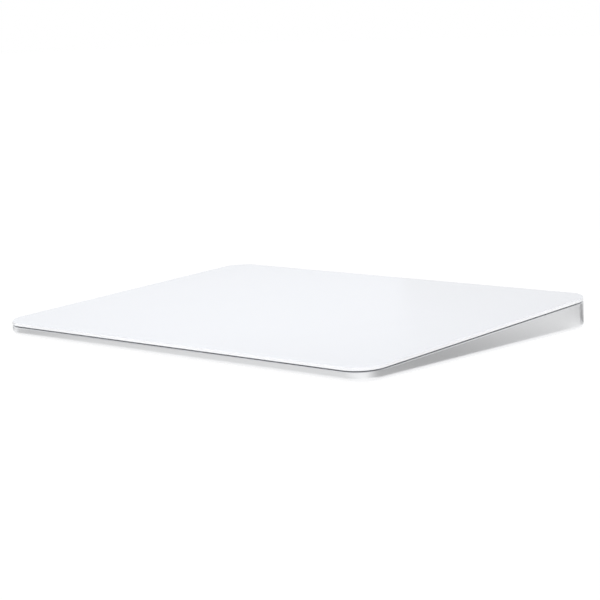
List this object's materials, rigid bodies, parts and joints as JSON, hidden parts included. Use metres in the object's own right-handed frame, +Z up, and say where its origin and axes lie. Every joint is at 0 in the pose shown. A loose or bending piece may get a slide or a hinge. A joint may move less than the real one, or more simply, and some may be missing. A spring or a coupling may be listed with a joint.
{
  "type": "trackpad",
  "caption": "Low wedge-shaped trackpad: white glass deck on force beams in a silver aluminium housing, with a haptic motor, charge socket and power switch at the rear.",
  "frame": {"origin": "on the desk under the middle of the body", "axes": "+Z up, +X to the user's right along the long side, +Y from the low front edge to the high rear edge"},
  "size_m": [0.16, 0.115, 0.0109],
  "materials": {
    "aluminium_silver": "bead-blasted and clear anodised, fine even grain",
    "glass_white": "fine-etched satin glass, opaque white behind, polished rounded edge",
    "polycarbonate_white": "fine matt texture",
    "rubber_grey": "matt silicone",
    "plate_aluminium": "milled, bare",
    "stainless_steel": "bright rolled sheet",
    "spring_steel": "hardened strip, satin",
    "screw_steel": "turned, bright",
    "post_brass": "turned brass",
    "board_green": "solder mask, satin",
    "board_black": "solder mask, satin",
    "chip_black": "moulded epoxy",
    "connector_ivory": "moulded, pale",
    "adhesive_clear": "translucent film",
    "tape_black": "foam tape",
    "trim_black": "moulded, matt black",
    "gel_clear": "soft clear silicone gel",
    "gauge_film": "polyimide film",
    "flex_amber": "polyimide flex, gloss",
    "copper_wire": "enamelled winding",
    "copper_foil": "bright foil",
    "tungsten_grey": "sintered, matt",
    "magnet_nickel": "nickel plated",
    "battery_pouch": "laminated foil, satin",
    "carrier_plastic": "moulded",
    "cable_black": "thin coax jacket",
    "socket_steel": "deep drawn, satin",
    "tongue_black": "moulded",
    "contact_gold": "gold plated",
    "gasket_black": "soft, matt",
    "switch_white": "moulded, satin",
    "mark_green": "printed"
  },
  "bodies": {
    "root": {"housing_shell": "aluminium_silver", "base_plate": "plate_aluminium", "base_plate_screws": "screw_steel", "base_skin": "polycarbonate_white", "gel_pads": "gel_clear", "strain_gauges": "gauge_film", "beam_screws": "screw_steel", "beam_posts": "post_brass", "board_posts": "post_brass", "socket_posts": "post_brass", "logic_board": "board_green", "board_shield": "stainless_steel", "board_chips": "chip_black", "board_connectors": "connector_ivory", "board_screws": "screw_steel", "sensor_flex": "flex_amber", "haptic_flex": "flex_amber", "battery_cell": "battery_pouch", "battery_board": "board_green", "battery_flex": "flex_amber", "battery_tapes": "tape_black", "antenna_carrier": "carrier_plastic", "antenna_foil": "copper_foil", "antenna_cable": "cable_black", "socket_shell": "socket_steel", "socket_tongue": "tongue_black", "socket_contacts": "contact_gold", "socket_gasket": "gasket_black", "socket_board": "board_black", "socket_clamp": "stainless_steel", "socket_clamp_screws": "screw_steel", "socket_plug": "connector_ivory", "rear_flex": "flex_amber", "power_switch_body": "carrier_plastic", "power_switch_bracket": "stainless_steel", "power_switch_screws": "screw_steel", "foot_front_left": "rubber_grey", "force_beam_front_left": "spring_steel", "foot_front_right": "rubber_grey", "force_beam_front_right": "spring_steel", "foot_rear_left": "rubber_grey", "force_beam_rear_left": "spring_steel", "foot_rear_right": "rubber_grey", "force_beam_rear_right": "spring_steel"},
    "touch_deck": {"touch_glass": "glass_white", "glass_adhesive": "adhesive_clear", "touch_sensor_board": "board_black", "touch_controller_chips": "chip_black", "sensor_connector": "connector_ivory", "deck_trim": "trim_black", "deck_stiffener": "stainless_steel", "haptic_lid": "stainless_steel", "haptic_case": "stainless_steel", "haptic_coils": "copper_wire", "haptic_springs": "spring_steel", "haptic_screws": "screw_steel"},
    "haptic_shaker": {"haptic_mass": "tungsten_grey", "haptic_magnets": "magnet_nickel"},
    "power_switch": {"power_switch_slider": "switch_white", "power_switch_mark": "mark_green"}
  },
  "joints": [
    {"name": "surface_press", "type": "slide", "parent": "root", "child": "touch_deck", "axis": [0, 0, -1], "range_m": [0, 0.0002], "stiffness_N_per_m": 10000, "springref_m": -0.0003, "deforming": ["gel_pads", "sensor_flex", "haptic_flex"]},
    {"name": "haptic_shake", "type": "slide", "parent": "touch_deck", "child": "haptic_shaker", "axis": [1, 0, 0], "range_m": [-0.0004, 0.0004], "stiffness_N_per_m": 3000, "deforming": ["haptic_springs"]},
    {"name": "power_switch_slide", "type": "slide", "parent": "root", "child": "power_switch", "axis": [1, 0, 0], "range_m": [0, 0.0026]}
  ]
}
